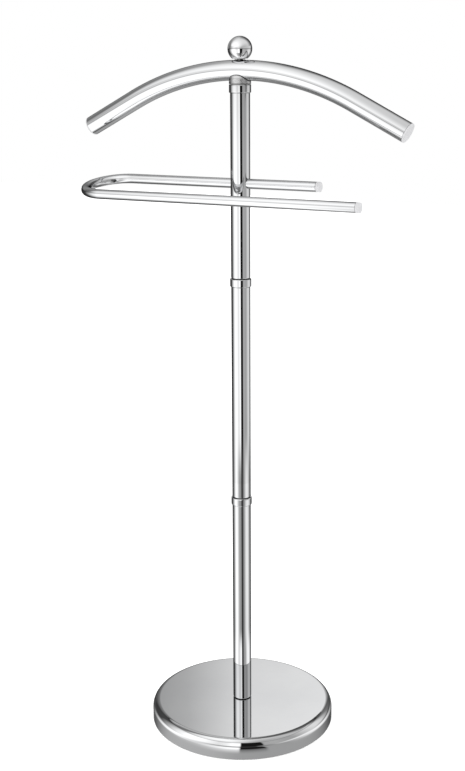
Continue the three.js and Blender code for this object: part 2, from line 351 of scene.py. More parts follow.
def ceilingMaterial():
    material, tree, parts, output = emptyMaterial("studioCeiling")
    across = spanRamp(tree, parts.outputs["Y"], lampAcross)
    away = spanRamp(tree, parts.outputs["X"], lampAway, -1)
    around = compassRamp(tree, compass(tree, parts), ceilingBands)
    spread = addNode(tree, "ShaderNodeMapRange")
    spread.inputs["From Max"].default_value = studio["middleSpread"]
    plug(tree, distanceOut(tree, parts), spread.inputs["Value"])
    middle = addNode(tree, "ShaderNodeRGB")
    middle.outputs[0].default_value = (ceilingMiddle, ceilingMiddle, ceilingMiddle, 1)
    plain = mixColors(tree, "MIX", spread.outputs["Result"], middle.outputs[0], around)
    lamp = mixColors(tree, "MULTIPLY", 1, across, away)
    total = mixColors(tree, "ADD", studio["lampStrength"], plain, lamp)
    glow = addNode(tree, "ShaderNodeEmission")
    plug(tree, total, glow.inputs["Color"])
    plug(tree, glow.outputs[0], output.inputs["Surface"])
    return material


def floorMaterial():
    material, tree, parts, output = emptyMaterial("paleFloor")
    factor = compass(tree, parts)
    near = compassRamp(tree, factor, nearFloorBands)
    further = compassRamp(tree, factor, floorBands)
    distance = distanceOut(tree, parts)
    rim = compassRamp(tree, factor, rimBands)
    reflected = mixColors(tree, "MIX", fadeOver(tree, distance, studio["floorFade"]), rim, near)
    reflected = mixColors(tree, "MIX", fadeOver(tree, distance, studio["farFade"]), reflected, further)
    glow = addNode(tree, "ShaderNodeEmission")
    plug(tree, reflected, glow.inputs["Color"])
    paint = addNode(tree, "ShaderNodeBsdfDiffuse")
    paint.inputs["Color"].default_value = (studio["floorPaint"],) * 3 + (1,)
    lift = addNode(tree, "ShaderNodeEmission")
    lift.inputs["Strength"].default_value = studio["floorLift"]
    lit = addNode(tree, "ShaderNodeAddShader")
    plug(tree, paint.outputs[0], lit.inputs[0])
    plug(tree, lift.outputs[0], lit.inputs[1])
    path = addNode(tree, "ShaderNodeLightPath")
    mixed = addNode(tree, "ShaderNodeMixShader")
    plug(tree, path.outputs["Is Glossy Ray"], mixed.inputs["Fac"])
    plug(tree, lit.outputs[0], mixed.inputs[1])
    plug(tree, glow.outputs[0], mixed.inputs[2])
    plug(tree, mixed.outputs[0], output.inputs["Surface"])
    return material


def glossOnly(thing):
    thing.visible_camera = False
    thing.visible_diffuse = False
    thing.visible_transmission = False
    thing.visible_volume_scatter = False
    thing.visible_shadow = False


def makeStage():
    floorMesh = bmesh.new()
    bmesh.ops.create_grid(floorMesh, x_segments=1, y_segments=1, size=studio["floorSize"] / 2)
    stageObject("floor", floorMesh, floorMaterial())
    radius = studio["tentRadius"]
    height = studio["tentTop"]
    wall = bmesh.new()
    bmesh.ops.create_cone(
        wall, cap_ends=False, segments=180, radius1=radius, radius2=radius, depth=height,
    )
    bmesh.ops.translate(wall, verts=wall.verts, vec=(0, 0, height / 2))
    glossOnly(stageObject("boards", wall, boardsMaterial()))
    ceiling = bmesh.new()
    bmesh.ops.create_circle(ceiling, cap_ends=True, segments=180, radius=radius)
    bmesh.ops.translate(ceiling, verts=ceiling.verts, vec=(0, 0, height))
    glossOnly(stageObject("ceiling", ceiling, ceilingMaterial()))


def makeLight(name, power, size, place):
    data = bpy.data.lights.new(name, "AREA")
    data.shape = "DISK"
    data.size = size
    data.energy = power
    lamp = bpy.data.objects.new(name, data)
    bpy.context.scene.collection.objects.link(lamp)
    middle = (cadBox[0] + cadBox[1]) / 2
    aim = (middle - Vector(place)).to_track_quat("-Z", "Y").to_matrix().to_4x4()
    lamp.matrix_world = Matrix.Translation(place) @ aim
    lamp.visible_glossy = False  # the boards are what the chrome shows


makeWorld()
makeStage()
makeLight("keySoftbox", studio["keyPower"], studio["keySize"], studio["keyPlace"])
makeLight("fillSoftbox", studio["fillPower"], studio["keySize"], studio["fillPlace"])
print("stage: studio built")


def buildRange():
    # Soft cloudy variation between two values.
    tree, given, result = newGroup(
        "cloudyRange",
        [
            ("Vector", "NodeSocketVector", None),
            ("Scale", "NodeSocketFloat", 20),
            ("Low", "NodeSocketFloat", 0),
            ("High", "NodeSocketFloat", 1),
        ],
        [("Value", "NodeSocketFloat")],
    )
    noise = addNode(tree, "ShaderNodeTexNoise")
    noise.inputs["Detail"].default_value = 5
    noise.inputs["Roughness"].default_value = 0.55
    plug(tree, given.outputs["Vector"], noise.inputs["Vector"])
    plug(tree, given.outputs["Scale"], noise.inputs["Scale"])
    spread = addNode(tree, "ShaderNodeMapRange")
    spread.inputs["From Min"].default_value = 0.3
    spread.inputs["From Max"].default_value = 0.7
    plug(tree, noise.outputs["Fac"], spread.inputs["Value"])
    plug(tree, given.outputs["Low"], spread.inputs["To Min"])
    plug(tree, given.outputs["High"], spread.inputs["To Max"])
    plug(tree, spread.outputs["Result"], result.inputs["Value"])
    return tree


def buildStreaks():
    # Fine lines drawn out along one axis of a stretched pattern.
    tree, given, result = newGroup(
        "polishLines",
        [
            ("Vector", "NodeSocketVector", None),
            ("Stretch", "NodeSocketVector", (900, 900, 12)),
            ("Contrast", "NodeSocketFloat", 0.5),
        ],
        [("Height", "NodeSocketFloat"), ("Mask", "NodeSocketFloat")],
    )
    scaled = addNode(tree, "ShaderNodeVectorMath", operation="MULTIPLY")
    plug(tree, given.outputs["Vector"], scaled.inputs[0])
    plug(tree, given.outputs["Stretch"], scaled.inputs[1])
    noise = addNode(tree, "ShaderNodeTexNoise")
    noise.inputs["Scale"].default_value = 1
    noise.inputs["Detail"].default_value = 3
    plug(tree, scaled.outputs[0], noise.inputs["Vector"])
    plug(tree, noise.outputs["Fac"], result.inputs["Height"])
    sharp = mathNode(tree, "SUBTRACT", noise.outputs["Fac"], 0.62)
    strong = mathNode(tree, "MULTIPLY", sharp, 9.0)
    clamped = mathNode(tree, "MULTIPLY", strong, given.outputs["Contrast"])
    clamped.node.use_clamp = True
    plug(tree, clamped, result.inputs["Mask"])
    return tree


def buildTurned():
    # Rings left by turning and buffing, for pieces made on a lathe about the Z axis.
    tree, given, result = newGroup(
        "turnedRings",
        [
            ("Vector", "NodeSocketVector", None),
            ("Pitch", "NodeSocketFloat", 0.0004),
        ],
        [("Height", "NodeSocketFloat")],
    )
    parts = addNode(tree, "ShaderNodeSeparateXYZ")
    plug(tree, given.outputs["Vector"], parts.inputs["Vector"])
    flat = addNode(tree, "ShaderNodeCombineXYZ")
    plug(tree, parts.outputs["X"], flat.inputs["X"])
    plug(tree, parts.outputs["Y"], flat.inputs["Y"])
    radius = addNode(tree, "ShaderNodeVectorMath", operation="LENGTH")
    plug(tree, flat.outputs["Vector"], radius.inputs[0])
    profile = addNode(tree, "ShaderNodeCombineXYZ")
    plug(tree, radius.outputs["Value"], profile.inputs["X"])
    plug(tree, parts.outputs["Z"], profile.inputs["Y"])
    per = mathNode(tree, "DIVIDE", 1.0, given.outputs["Pitch"])
    noise = addNode(tree, "ShaderNodeTexNoise")
    noise.inputs["Detail"].default_value = 4
    plug(tree, profile.outputs["Vector"], noise.inputs["Vector"])
    plug(tree, per, noise.inputs["Scale"])
    plug(tree, noise.outputs["Fac"], result.inputs["Height"])
    return tree


def buildDust():
    # A little dust where a surface faces up.
    tree, given, result = newGroup(
        "settledDust",
        [("Vector", "NodeSocketVector", None), ("Amount", "NodeSocketFloat", 0.1)],
        [("Mask", "NodeSocketFloat")],
    )
    facing = addNode(tree, "ShaderNodeNewGeometry")
    parts = addNode(tree, "ShaderNodeSeparateXYZ")
    plug(tree, facing.outputs["Normal"], parts.inputs["Vector"])
    upward = mathNode(tree, "POWER", mathNode(tree, "MAXIMUM", parts.outputs["Z"], 0.0), 4.0)
    noise = addNode(tree, "ShaderNodeTexNoise")
    noise.inputs["Scale"].default_value = 260
    noise.inputs["Detail"].default_value = 6
    plug(tree, given.outputs["Vector"], noise.inputs["Vector"])
    specks = addNode(tree, "ShaderNodeMapRange")
    specks.inputs["From Min"].default_value = 0.48
    specks.inputs["From Max"].default_value = 0.75
    plug(tree, noise.outputs["Fac"], specks.inputs["Value"])
    laid = mathNode(tree, "MULTIPLY", upward, specks.outputs["Result"])
    amount = mathNode(tree, "MULTIPLY", laid, given.outputs["Amount"])
    plug(tree, amount, result.inputs["Mask"])
    return tree


cloudyRange = buildRange()
polishLines = buildStreaks()
turnedRings = buildTurned()
settledDust = buildDust()


def groupNode(tree, group, vector, **values):
    node = addNode(tree, "ShaderNodeGroup", node_tree=group)
    plug(tree, vector, node.inputs["Vector"])
    for key, value in values.items():
        node.inputs[key].default_value = value
    return node


def newMaterial(name, metallic):
    material = bpy.data.materials.new(name)
    material.use_nodes = True
    tree = material.node_tree
    shader = tree.nodes["Principled BSDF"]
    shader.inputs["Metallic"].default_value = metallic
    place = addNode(tree, "ShaderNodeTexCoord").outputs["Object"]
    return material, tree, shader, place


def colorFrom(tree, shader, factor, low, high):
    plug(tree, rampNode(tree, factor, [(0.0, low), (1.0, high)]), shader.inputs["Base Color"])


def bumpFrom(tree, shader, height, strength, distance):
    bump = addNode(tree, "ShaderNodeBump")
    bump.inputs["Strength"].default_value = strength
    bump.inputs["Distance"].default_value = distance
    plug(tree, height, bump.inputs["Height"])
    plug(tree, bump.outputs["Normal"], shader.inputs["Normal"])


chromeFinish = {
    "low": (0.77, 0.775, 0.785),
    "high": (0.82, 0.825, 0.83),
    "edgeTint": (0.22, 0.22, 0.22, 1),
    "roughness": (0.008, 0.030),
    "dust": 0.06,
    "waviness": 0.008,
}


def makeChrome(name, turned, low=chromeFinish["low"], high=chromeFinish["high"]):
    material, tree, shader, place = newMaterial(name, 1)
    tint = groupNode(tree, cloudyRange, place, Scale=9.0, Low=0.0, High=1.0)
    colorFrom(tree, shader, tint.outputs["Value"], low, high)
    shader.inputs["Specular Tint"].default_value = chromeFinish["edgeTint"]
    smooth, hazy = chromeFinish["roughness"]
    haze = groupNode(tree, cloudyRange, place, Scale=38.0, Low=smooth, High=hazy)
    dust = groupNode(tree, settledDust, place, Amount=chromeFinish["dust"])
    lines = groupNode(tree, polishLines, place, Stretch=(40, 2600, 2600), Contrast=0.4)
    if turned:
        lines.inputs["Stretch"].default_value = (2600, 2600, 30)
    scuff = mathNode(tree, "MULTIPLY", lines.outputs["Mask"], 0.02)
    rough = mathNode(tree, "ADD", haze.outputs["Value"], dust.outputs["Mask"])
    plug(tree, mathNode(tree, "ADD", rough, scuff), shader.inputs["Roughness"])
    if turned:
        relief = groupNode(tree, turnedRings, place, Pitch=0.012).outputs["Height"]
    else:
        relief = groupNode(tree, cloudyRange, place, Scale=30.0, Low=0.0, High=1.0).outputs["Value"]
    bumpFrom(tree, shader, relief, chromeFinish["waviness"], 0.0004)
    return material


satinFinish = {
    "low": (0.60, 0.60, 0.605),
    "high": (0.70, 0.70, 0.70),
    # The seam colour is painted shade, laid into the joints with the bar and the collar.
    "seam": (0.05, 0.05, 0.05),
    "barHeight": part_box("hanger_bar")[1].z - 14 * millimetre,
    "seatFade": (15.6 * millimetre, 14.7 * millimetre),
    "foot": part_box("hanger_saddle")[0].z,
    "footFade": (0.9 * millimetre, 0.5 * millimetre),
}


def edgeMask(tree, value, limits):
    fade = addNode(tree, "ShaderNodeMapRange")
    fade.inputs["From Min"].default_value = limits[0]
    fade.inputs["From Max"].default_value = limits[1]
    plug(tree, value, fade.inputs["Value"])
    return fade.outputs["Result"]


def makeSatin():
    # Painted shade: the colour runs to near black in the joints with the bar above and the collar
    # below, where shade falls.
    finish = satinFinish
    material, tree, shader, place = newMaterial("satinCasting", 1)
    tint = groupNode(tree, cloudyRange, place, Scale=60.0, Low=0.0, High=1.0)
    metal = rampNode(tree, tint.outputs["Value"], [(0.0, finish["low"]), (1.0, finish["high"])])
    parts = addNode(tree, "ShaderNodeSeparateXYZ")
    plug(tree, place, parts.inputs["Vector"])
    below = mathNode(tree, "SUBTRACT", parts.outputs["Z"], finish["barHeight"])
    squared = mathNode(tree, "ADD", mathNode(tree, "POWER", parts.outputs["Y"], 2.0),
                       mathNode(tree, "MULTIPLY", below, below))
    fromBar = edgeMask(tree, mathNode(tree, "SQRT", squared), finish["seatFade"])
    fromFoot = mathNode(tree, "SUBTRACT", parts.outputs["Z"], finish["foot"])
    jointShadeMask = mathNode(tree, "MAXIMUM", fromBar, edgeMask(tree, fromFoot, finish["footFade"]))
    paintedJointShade = addNode(tree, "ShaderNodeRGB")
    paintedJointShade.outputs[0].default_value = (*finish["seam"], 1)
    plug(tree, mixColors(tree, "MIX", jointShadeMask, metal, paintedJointShade.outputs[0]), shader.inputs["Base Color"])
    rough = groupNode(tree, cloudyRange, place, Scale=240.0, Low=0.30, High=0.42)
    plug(tree, rough.outputs["Value"], shader.inputs["Roughness"])
    grain = groupNode(tree, cloudyRange, place, Scale=1400.0, Low=0.0, High=1.0)
    bumpFrom(tree, shader, grain.outputs["Value"], 0.12, 0.0002)
    return material


def makePlated(name, low, high):
    material, tree, shader, place = newMaterial(name, 1)
    tint = groupNode(tree, cloudyRange, place, Scale=90.0, Low=0.0, High=1.0)
    colorFrom(tree, shader, tint.outputs["Value"], low, high)
    rough = groupNode(tree, cloudyRange, place, Scale=180.0, Low=0.24, High=0.40)
    plug(tree, rough.outputs["Value"], shader.inputs["Roughness"])
    rings = groupNode(tree, turnedRings, place, Pitch=0.0005)
    bumpFrom(tree, shader, rings.outputs["Height"], 0.15, 0.0002)
    return material


def makeCastIron():
    material, tree, shader, place = newMaterial("castIron", 0.2)
    tint = groupNode(tree, cloudyRange, place, Scale=45.0, Low=0.0, High=1.0)
    colorFrom(tree, shader, tint.outputs["Value"], (0.018, 0.018, 0.020), (0.050, 0.048, 0.046))
    rough = groupNode(tree, cloudyRange, place, Scale=120.0, Low=0.60, High=0.85)
    plug(tree, rough.outputs["Value"], shader.inputs["Roughness"])
    grain = groupNode(tree, cloudyRange, place, Scale=700.0, Low=0.0, High=1.0)
    bumpFrom(tree, shader, grain.outputs["Value"], 0.5, 0.0006)
    return material


def makePlastic(name, low, high, roughLow, roughHigh):
    material, tree, shader, place = newMaterial(name, 0)
    tint = groupNode(tree, cloudyRange, place, Scale=70.0, Low=0.0, High=1.0)
    colorFrom(tree, shader, tint.outputs["Value"], low, high)
    rough = groupNode(tree, cloudyRange, place, Scale=300.0, Low=roughLow, High=roughHigh)
    plug(tree, rough.outputs["Value"], shader.inputs["Roughness"])
    grain = groupNode(tree, cloudyRange, place, Scale=2200.0, Low=0.0, High=1.0)
    bumpFrom(tree, shader, grain.outputs["Value"], 0.10, 0.0002)
    return material


def makeFoam():
    material, tree, shader, place = newMaterial("closedCellFoam", 0)
    cells = addNode(tree, "ShaderNodeTexVoronoi", feature="F1")
    cells.inputs["Scale"].default_value = 900
    plug(tree, place, cells.inputs["Vector"])
    colorFrom(tree, shader, cells.outputs["Distance"], (0.010, 0.010, 0.011), (0.035, 0.035, 0.036))
    rough = groupNode(tree, cloudyRange, place, Scale=150.0, Low=0.82, High=0.96)
    plug(tree, rough.outputs["Value"], shader.inputs["Roughness"])
    bumpFrom(tree, shader, cells.outputs["Distance"], 0.6, 0.0005)
    return material


chromeDrawn = makeChrome("chromeDrawnTube", False)
chromeTurned = makeChrome("chromeTurned", True)
# The ball's chrome is a lighter copy of the turned chrome: painted light, to brighten the ball's
# reflections.
chromeBall = makeChrome("chromeBall", True, (0.88, 0.885, 0.89), (0.93, 0.93, 0.935))
satinCasting = makeSatin()
zincPlate = makePlated("zincPlate", (0.44, 0.45, 0.46), (0.60, 0.60, 0.58))
castIron = makeCastIron()
closedCellFoam = makeFoam()
capPlastic = makePlastic("capPlastic", (0.50, 0.50, 0.51), (0.58, 0.58, 0.59), 0.28, 0.40)
blackNylon = makePlastic("blackNylon", (0.010, 0.010, 0.011), (0.024, 0.024, 0.026), 0.38, 0.52)
# Black oxide on the clamp screw. On the posts' foot inserts the same near-black is painted shade for
# the gap above each joint ring.
blackOxideAndGapShade = makePlated("blackOxideAndGapShade", (0.012, 0.012, 0.013), (0.030, 0.030, 0.032))
print("stage: materials made")


def finishMesh(mesh, material, sharpAngle=40):
    mesh.materials.clear()
    mesh.materials.append(material)
    mesh.polygons.foreach_set("use_smooth", [True] * len(mesh.polygons))
    mesh.set_sharp_from_angle(angle=math.radians(sharpAngle))
    return mesh


def addPiece(name, mesh, body, slotName, *nodes):
    piece = bpy.data.objects.new(name, mesh)
    bpy.context.scene.collection.objects.link(piece)
    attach(piece, body)
    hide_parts(*nodes)
    return piece


def filleted(corners, steps=5):
    # Corners are (radius, height, fillet). Each fillet is an arc, held by a support point on
    # either side so that the flats next to it stay flat in their shading.
    points = []
    count = len(corners)
    for index, (radius, height, fillet) in enumerate(corners):
        corner = Vector((radius, height))
        if fillet <= 0:
            points.append(corner)
            continue
        before = Vector(corners[index - 1][:2]) - corner
        after = Vector(corners[(index + 1) % count][:2]) - corner
        room = 0.48 * min(before.length, after.length)
        before.normalize()
        after.normalize()
        halfAngle = before.angle(after) / 2
        reach = fillet / math.tan(halfAngle)
        centre = corner + (before + after).normalized() * fillet / math.sin(halfAngle)
        start = corner + before * reach - centre
        sweep = math.pi - 2 * halfAngle
        if start.x * after.y - start.y * after.x < 0:
            sweep = -sweep
        support = min(reach * 1.8, room)
        if support > reach * 1.1:
            points.append(corner + before * support)
        for step in range(steps + 1):
            turn = Matrix.Rotation(sweep * step / steps, 2)
            points.append(centre + turn @ start)
        if support > reach * 1.1:
            points.append(corner + after * support)
    return points


def turnedMesh(name, profile, sides=128):
    # A closed profile of (radius, height), with the material on its left, turned about Z.
    bm = bmesh.new()
    rings = []
    for radius, height in profile:
        if radius < 1e-7:
            rings.append([bm.verts.new((0, 0, height))])
            continue
        ring = []
        for side in range(sides):
            angle = 2 * math.pi * side / sides
            ring.append(bm.verts.new((radius * math.cos(angle), radius * math.sin(angle), height)))
        rings.append(ring)
    for lower, upper in zip(rings, rings[1:] + rings[:1]):
        if len(lower) == 1 and len(upper) == 1:
            continue
        for side in range(sides):
            after = (side + 1) % sides
            if len(lower) == 1:
                bm.faces.new((lower[0], upper[after], upper[side]))
            elif len(upper) == 1:
                bm.faces.new((lower[side], lower[after], upper[0]))
            else:
                bm.faces.new((lower[side], lower[after], upper[after], upper[side]))
    mesh = bpy.data.meshes.new(name)
    bm.to_mesh(mesh)
    bm.free()
    return mesh


def turnedPiece(name, profile, material, body, slotName, *nodes, sides=128, place=None):
    mesh = turnedMesh(name, profile, sides)
    if place is not None:
        mesh.transform(place)
    finishMesh(mesh, material)
    return addPiece(name, mesh, body, slotName, *nodes)


def radiusOf(node):
    low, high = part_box(node)
    return (high.y - low.y) / 2


def heightsOf(node):
    low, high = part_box(node)
    return low.z, high.z


baseCoverSize = {
    "shoulderWidth": 11.3 * millimetre,
    "shoulderHeight": 13.3 * millimetre,
    "sheet": 1.5 * millimetre,
    "hole": 5.3 * millimetre,
    "hem": 0.5 * millimetre,
    "holeEdge": 0.2 * millimetre,
    "support": 0.6 * millimetre,
    "shoulderSteps": 28,
}


def makeBaseCover():
    size = baseCoverSize
    radius = radiusOf("base_cover")
    foot, top = heightsOf("base_cover")
    sheet = size["sheet"]
    centreRadius = radius - size["shoulderWidth"]
    centreHeight = top - size["shoulderHeight"]

    def shoulder(inset):
        points = []
        for step in range(size["shoulderSteps"] + 1):
            angle = math.pi / 2 * step / size["shoulderSteps"]
            points.append((
                centreRadius + (size["shoulderWidth"] - inset) * math.cos(angle),
                centreHeight + (size["shoulderHeight"] - inset) * math.sin(angle),
                0,
            ))
        return points

    support = size["support"]
    corners = [
        (radius - sheet, foot, size["hem"]),
        (radius, foot, size["hem"]),
        (radius, centreHeight - support, 0),
        *shoulder(0),
        (centreRadius - support, top, 0),
        (size["hole"] + support, top, 0),
        (size["hole"], top, size["holeEdge"]),
        (size["hole"], top - sheet, size["holeEdge"]),
        (centreRadius - support, top - sheet, 0),
        *reversed(shoulder(sheet)),
        (radius - sheet, centreHeight - support, 0),
    ]
    turnedPiece(
        "baseCover", filleted(corners), chromeTurned, "stand", "chrome", "base_cover", sides=256,
    )


baseWeightSize = {
    "hub": 34 * millimetre,
    "recess": 17 * millimetre,
    "recessTop": 14 * millimetre,
    "hole": 5.3 * millimetre,
    "discThickness": 11 * millimetre,
    "edge": 1.6 * millimetre,
}


def makeBaseWeight():
    size = baseWeightSize
    radius = radiusOf("base_weight")
    foot, top = heightsOf("base_weight")
    discTop = foot + size["discThickness"]
    edge = size["edge"]
    turnedPiece(
        "baseWeight",
        filleted([
            (size["recess"], foot, edge / 2),
            (radius, foot, edge),
            (radius, discTop, edge),
            (size["hub"], discTop, edge),
            (size["hub"], top, edge / 2),
            (size["hole"], top, edge / 4),
            (size["hole"], size["recessTop"], edge / 4),
            (size["recess"], size["recessTop"], edge / 2),
        ]),
        castIron, "stand", "cast_iron", "base_weight",
    )


def ringProfile(hole, radius, low, high, edge, holeEdge=None):
    holeEdge = edge if holeEdge is None else holeEdge
    return filleted([
        (hole, low, holeEdge),
        (radius, low, edge),
        (radius, high, edge),
        (hole, high, holeEdge),
    ])


basePadSize = {"hole": 24 * millimetre, "edge": 0.6 * millimetre}
boltWasherSize = {"hole": 5.3 * millimetre, "edge": 0.3 * millimetre}


def makeBasePad():
    size = basePadSize
    low, high = heightsOf("base_pad")
    turnedPiece(
        "basePad",
        ringProfile(size["hole"], radiusOf("base_pad"), low, high, size["edge"]),
        closedCellFoam, "stand", "foam", "base_pad", sides=192,
    )


def makeBoltWasher():
    size = boltWasherSize
    low, high = heightsOf("base_bolt_washer")
    turnedPiece(
        "baseBoltWasher",
        ringProfile(size["hole"], radiusOf("base_bolt_washer"), low, high, size["edge"]),
        zincPlate, "stand", "steel", "base_bolt_washer", sides=64,
    )


makeBaseCover()
makeBaseWeight()
makeBasePad()
makeBoltWasher()
print("stage: base made")


tubeSize = {
    "wall": 1.2 * millimetre,
    "edge": 0.35 * millimetre,
    "innerEdge": 0.15 * millimetre,
    "tolerance": 0.02 * millimetre,
    "rollWidth": 0.6 * millimetre,
    "rollHeight": 1.0 * millimetre,
    "rollSteps": 8,
}
ringSize = {
    "edge": 1.1 * millimetre,
    "holeEdge": 0.3 * millimetre,
    "studHole": 5.3 * millimetre,
    "finialHole": 4.3 * millimetre,
}
drillSize = {
    "railRadius": 7.25 * millimetre,
    "railLength": 40 * millimetre,
    "screwRadius": 2.7 * millimetre,
    "screwLength": 20 * millimetre,
    "screwPlace": 15 * millimetre,  # behind the post's middle
}


def tubeProfile(node):
    # The foot is rolled in a little, and the head is cut square.
    low, high = heightsOf(node)
    radius = radiusOf(node)
    inner = radius - tubeSize["wall"]
    inward = tubeSize["rollWidth"]
    rise = tubeSize["rollHeight"]
    roll = []
    for step in range(tubeSize["rollSteps"] + 1):
        angle = math.pi / 2 * step / tubeSize["rollSteps"]
        across = radius - inward + inward * math.sin(angle)
        roll.append((across, low + rise - rise * math.cos(angle), 0))
    return filleted([
        (inner, low, 0),
        *roll,
        (radius, low + 1.5 * rise, 0),
        (radius, high, tubeSize["edge"]),
        (inner, high, tubeSize["innerEdge"]),
    ])


def cylinderCutter(radius, length, place):
    half = length / 2
    outline = [(0, -half), (radius, -half), (radius, half), (0, half)]
    mesh = turnedMesh("cutter", outline, 96)
    mesh.transform(place)
    cutter = bpy.data.objects.new("cutter", mesh)
    bpy.context.scene.collection.objects.link(cutter)
    return cutter


def cutMesh(name, mesh, cutters):
    # Booleans are applied and their cutters removed, so that a plain mesh is left.
    body = bpy.data.objects.new(name, mesh)
    bpy.context.scene.collection.objects.link(body)
    for cutter in cutters:
        modifier = body.modifiers.new("cut", "BOOLEAN")
        modifier.operation = "DIFFERENCE"
        modifier.solver = "EXACT"
        modifier.object = cutter
    depsgraph = bpy.context.evaluated_depsgraph_get()
    result = bpy.data.meshes.new_from_object(body.evaluated_get(depsgraph))
    result.name = name
    for spare in [body, *cutters]:
        bpy.data.objects.remove(spare)
    return result


def roundNormals(mesh, radius, wall):
    # After a cut, each wall of an upright tube keeps its true round normals.
    normals = []
    tolerance = tubeSize["tolerance"]
    for face in mesh.polygons:
        reaches = [mesh.vertices[v].co.xy.length for v in face.vertices]
        outer = all(abs(reach - radius) < tolerance for reach in reaches)
        inner = all(abs(reach - radius + wall) < tolerance for reach in reaches)
        for v in face.vertices:
            radial = mesh.vertices[v].co.copy()
            radial.z = 0
            radial.normalize()
            if outer:
                normals.append(radial)
            elif inner:
                normals.append(-radial)
            else:
                normals.append(Vector((0, 0, 0)))
    mesh.normals_split_custom_set(normals)


def makePosts():
    for name, node in (("lowerPost", "lower_post"), ("middlePost", "middle_post")):
        turnedPiece(name, tubeProfile(node), chromeDrawn, "stand", "chrome", node)
    # The upper post is drilled through for the rail and tapped behind for its grub screw.
    railHeight = frame["joints"][0]["pos_m"][2]
    mesh = turnedMesh("upperPost", tubeProfile("upper_post"))
    across = Matrix.Translation((0, 0, railHeight)) @ Matrix.Rotation(math.pi / 2, 4, "Y")
    behind = Matrix.Translation((0, drillSize["screwPlace"], railHeight))
    behind = behind @ Matrix.Rotation(math.pi / 2, 4, "X")
    mesh = cutMesh("upperPost", mesh, [
        cylinderCutter(drillSize["railRadius"], drillSize["railLength"], across),
        cylinderCutter(drillSize["screwRadius"], drillSize["screwLength"], behind),
    ])
    finishMesh(mesh, chromeDrawn)
    roundNormals(mesh, radiusOf("upper_post"), tubeSize["wall"])
    addPiece("upperPost", mesh, "stand", "chrome", "upper_post")


def makeRings():
    rings = (
        ("lowerJointRing", "lower_joint_ring", ringSize["studHole"]),
        ("upperJointRing", "upper_joint_ring", ringSize["studHole"]),
        ("collarRing", "collar_ring", ringSize["finialHole"]),
    )
    for name, node, hole in rings:
        low, high = heightsOf(node)
        radius = radiusOf(node)
        profile = ringProfile(hole, radius, low, high, ringSize["edge"], ringSize["holeEdge"])
        turnedPiece(name, profile, chromeTurned, "stand", "chrome", node)


makePosts()
makeRings()
print("stage: post made")


def buildTubeTree():
    # Sweeps a round section along the path that the object's edges draw.
    tree = bpy.data.node_groups.new("tubeAlongPath", "GeometryNodeTree")
    face = tree.interface
    face.new_socket("Path", in_out="INPUT", socket_type="NodeSocketGeometry")
    face.new_socket("Radius", in_out="INPUT", socket_type="NodeSocketFloat")
    face.new_socket("Sides", in_out="INPUT", socket_type="NodeSocketInt")
    face.new_socket("Finish", in_out="INPUT", socket_type="NodeSocketMaterial")
    face.new_socket("Tube", in_out="OUTPUT", socket_type="NodeSocketGeometry")
    given = addNode(tree, "NodeGroupInput")
    result = addNode(tree, "NodeGroupOutput")
    path = addNode(tree, "GeometryNodeMeshToCurve")
    section = addNode(tree, "GeometryNodeCurvePrimitiveCircle")
    sweep = addNode(tree, "GeometryNodeCurveToMesh")
    realize = addNode(tree, "GeometryNodeRealizeInstances")
    paint = addNode(tree, "GeometryNodeSetMaterial")
    plug(tree, given.outputs["Path"], path.inputs["Mesh"])
    plug(tree, given.outputs["Radius"], section.inputs["Radius"])
    plug(tree, given.outputs["Sides"], section.inputs["Resolution"])
    plug(tree, path.outputs["Curve"], sweep.inputs["Curve"])
    plug(tree, section.outputs["Curve"], sweep.inputs["Profile Curve"])
    plug(tree, sweep.outputs["Mesh"], realize.inputs["Geometry"])
    plug(tree, realize.outputs["Geometry"], paint.inputs["Geometry"])
    plug(tree, given.outputs["Finish"], paint.inputs["Material"])
    plug(tree, paint.outputs["Geometry"], result.inputs["Tube"])
    return tree


def setInputs(modifier, tree, values):
    for item in tree.interface.items_tree:
        if item.in_out == "INPUT" and item.name in values:
            modifier[item.identifier] = values[item.name]


tubeAlongPath = buildTubeTree()


def sweptTube(name, points, radius, wall, sides, material):
    mesh = bpy.data.meshes.new(name)
    mesh.from_pydata(points, [(i, i + 1) for i in range(len(points) - 1)], [])
    draft = bpy.data.objects.new(name, mesh)
    bpy.context.scene.collection.objects.link(draft)
    modifier = draft.modifiers.new("tube", "NODES")
    modifier.node_group = tubeAlongPath
    setInputs(modifier, tubeAlongPath, {"Radius": radius, "Sides": sides, "Finish": material})
    shell = draft.modifiers.new("wall", "SOLIDIFY")
    shell.thickness = wall
    shell.offset = -1
    depsgraph = bpy.context.evaluated_depsgraph_get()
    result = bpy.data.meshes.new_from_object(draft.evaluated_get(depsgraph))
    result.name = name
    bpy.data.objects.remove(draft)
    return finishMesh(result, material)


railSize = {
    "radius": 7 * millimetre,
    "bendRadius": 45 * millimetre,
    "bendX": -180 * millimetre,
    "capLength": 6 * millimetre,
    "capEdge": 0.9 * millimetre,
    "plugLength": 10 * millimetre,
    "droop": 9.4,  # degrees
    "wall": 1.2 * millimetre,
    "sides": 64,
    "bendSteps": 96,
    "edgeSteps": (0, 0.4, 1.2, 4),  # support near the open ends, in millimetres
}


def railTurn():
    pivot = Matrix.Translation(Vector(frame["joints"][0]["pos_m"]))
    return pivot @ Matrix.Rotation(math.radians(railSize["droop"]), 4, "X")


